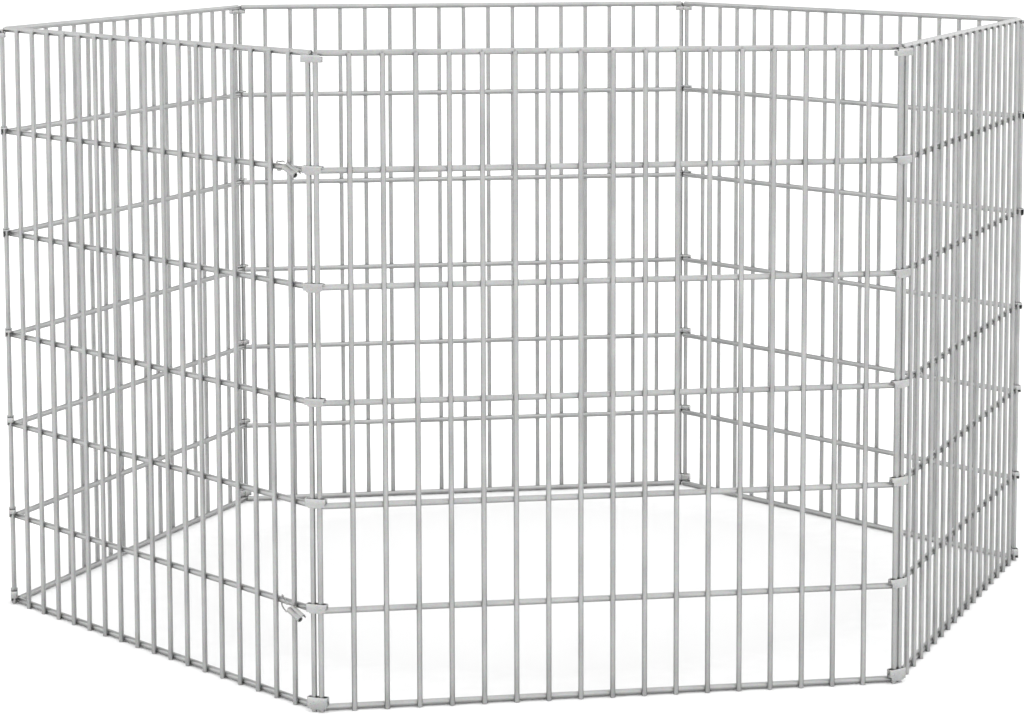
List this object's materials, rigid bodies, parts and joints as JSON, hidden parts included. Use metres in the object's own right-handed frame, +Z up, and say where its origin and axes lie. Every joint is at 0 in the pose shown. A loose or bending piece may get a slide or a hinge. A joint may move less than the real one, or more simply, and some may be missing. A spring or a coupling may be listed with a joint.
{
  "type": "folding animal pen",
  "caption": "Free-standing hexagonal pen of welded wire panels, joined at the corners by sheet-metal clips so that it folds, with small swinging latches beside one corner.",
  "frame": {"origin": "on the floor, on the vertical axis through the middle of the hexagon at rest", "axes": "+Z up, -Y out of the front panel, +X towards the right-hand corner seen from the front"},
  "size_m": [1.1002, 0.9612, 0.6032],
  "materials": {
    "wire": "galvanised, satin",
    "clip_strip": "zinc-plated strip, smooth",
    "latch_wire": "zinc-plated, satin",
    "latch_strip": "zinc-plated strip, smooth"
  },
  "bodies": {
    "front": {"panel_front": "wire", "clip_c1_row1": "clip_strip", "clip_c1_row2": "clip_strip", "clip_c1_row3": "clip_strip", "clip_c1_row4": "clip_strip", "clip_c1_row5": "clip_strip", "clip_c1_row6": "clip_strip", "clip_c1_row7": "clip_strip"},
    "right_front": {"panel_right_front": "wire", "clip_c2_row1": "clip_strip", "clip_c2_row2": "clip_strip", "clip_c2_row3": "clip_strip", "clip_c2_row4": "clip_strip", "clip_c2_row5": "clip_strip", "clip_c2_row6": "clip_strip", "clip_c2_row7": "clip_strip"},
    "right_back": {"panel_right_back": "wire", "clip_c3_row1": "clip_strip", "clip_c3_row2": "clip_strip", "clip_c3_row3": "clip_strip", "clip_c3_row4": "clip_strip", "clip_c3_row5": "clip_strip", "clip_c3_row6": "clip_strip", "clip_c3_row7": "clip_strip"},
    "back": {"panel_back": "wire", "clip_c4_row1": "clip_strip", "clip_c4_row2": "clip_strip", "clip_c4_row3": "clip_strip", "clip_c4_row4": "clip_strip", "clip_c4_row5": "clip_strip", "clip_c4_row6": "clip_strip", "clip_c4_row7": "clip_strip"},
    "left_back": {"panel_left_back": "wire", "clip_c5_row1": "clip_strip", "clip_c5_row2": "clip_strip", "clip_c5_row3": "clip_strip", "clip_c5_row4": "clip_strip", "clip_c5_row5": "clip_strip", "clip_c5_row6": "clip_strip", "clip_c5_row7": "clip_strip"},
    "left_front": {"panel_left_front": "wire", "clip_c0_row1": "clip_strip", "clip_c0_row2": "clip_strip", "clip_c0_row3": "clip_strip", "clip_c0_row4": "clip_strip", "clip_c0_row5": "clip_strip", "clip_c0_row6": "clip_strip", "clip_c0_row7": "clip_strip"},
    "upper_latch_link": {"upper_latch_link": "latch_wire"},
    "upper_latch_hook": {"upper_latch_hook": "latch_strip"},
    "lower_latch_link": {"lower_latch_link": "latch_wire"},
    "lower_latch_hook": {"lower_latch_hook": "latch_strip"}
  },
  "joints": [
    {"name": "fold_c3", "type": "hinge", "parent": "right_back", "child": "back", "pos_m": [0.27, 0.47489, 0.3], "axis": [0, 0, -1], "range_deg": [-30, 60]},
    {"name": "fold_c4", "type": "hinge", "parent": "back", "child": "left_back", "pos_m": [-0.27627, 0.47127, 0.3], "axis": [0, 0, -1], "range_deg": [-30, 15]},
    {"name": "fold_c5", "type": "hinge", "parent": "left_back", "child": "left_front", "pos_m": [-0.54627, -0.00362, 0.3], "axis": [0, 0, -1], "range_deg": [-30, 15]},
    {"name": "fold_c2", "type": "hinge", "parent": "right_back", "child": "right_front", "pos_m": [0.54627, 0.00362, 0.3], "axis": [0, 0, 1], "range_deg": [-30, 15]},
    {"name": "fold_c1", "type": "hinge", "parent": "right_front", "child": "front", "pos_m": [0.27627, -0.47127, 0.3], "axis": [0, 0, 1], "range_deg": [-30, 15]},
    {"name": "upper_latch_swing", "type": "hinge", "parent": "left_front", "child": "upper_latch_link", "pos_m": [-0.29938, -0.42284, 0.4952], "axis": [0, 0, -1], "range_deg": [0, 60]},
    {"name": "upper_latch_roll", "type": "hinge", "parent": "upper_latch_link", "child": "upper_latch_hook", "pos_m": [-0.29268, -0.46084, 0.49432], "axis": [0.4698, -0.8138, -0.342], "range_deg": [0, 90]},
    {"name": "lower_latch_swing", "type": "hinge", "parent": "left_front", "child": "lower_latch_link", "pos_m": [-0.29938, -0.42284, 0.0931], "axis": [0, 0, -1], "range_deg": [0, 60]},
    {"name": "lower_latch_roll", "type": "hinge", "parent": "lower_latch_link", "child": "lower_latch_hook", "pos_m": [-0.29268, -0.46084, 0.08832], "axis": [0.4698, -0.8138, -0.342], "range_deg": [0, 90]}
  ],
  "couplings": [
    {"joint": "fold_c1", "follows": "fold_c3", "ratio": -0.5},
    {"joint": "fold_c2", "follows": "fold_c3", "ratio": -0.5},
    {"joint": "fold_c4", "follows": "fold_c3", "ratio": -0.5},
    {"joint": "fold_c5", "follows": "fold_c3", "ratio": -0.5}
  ]
}
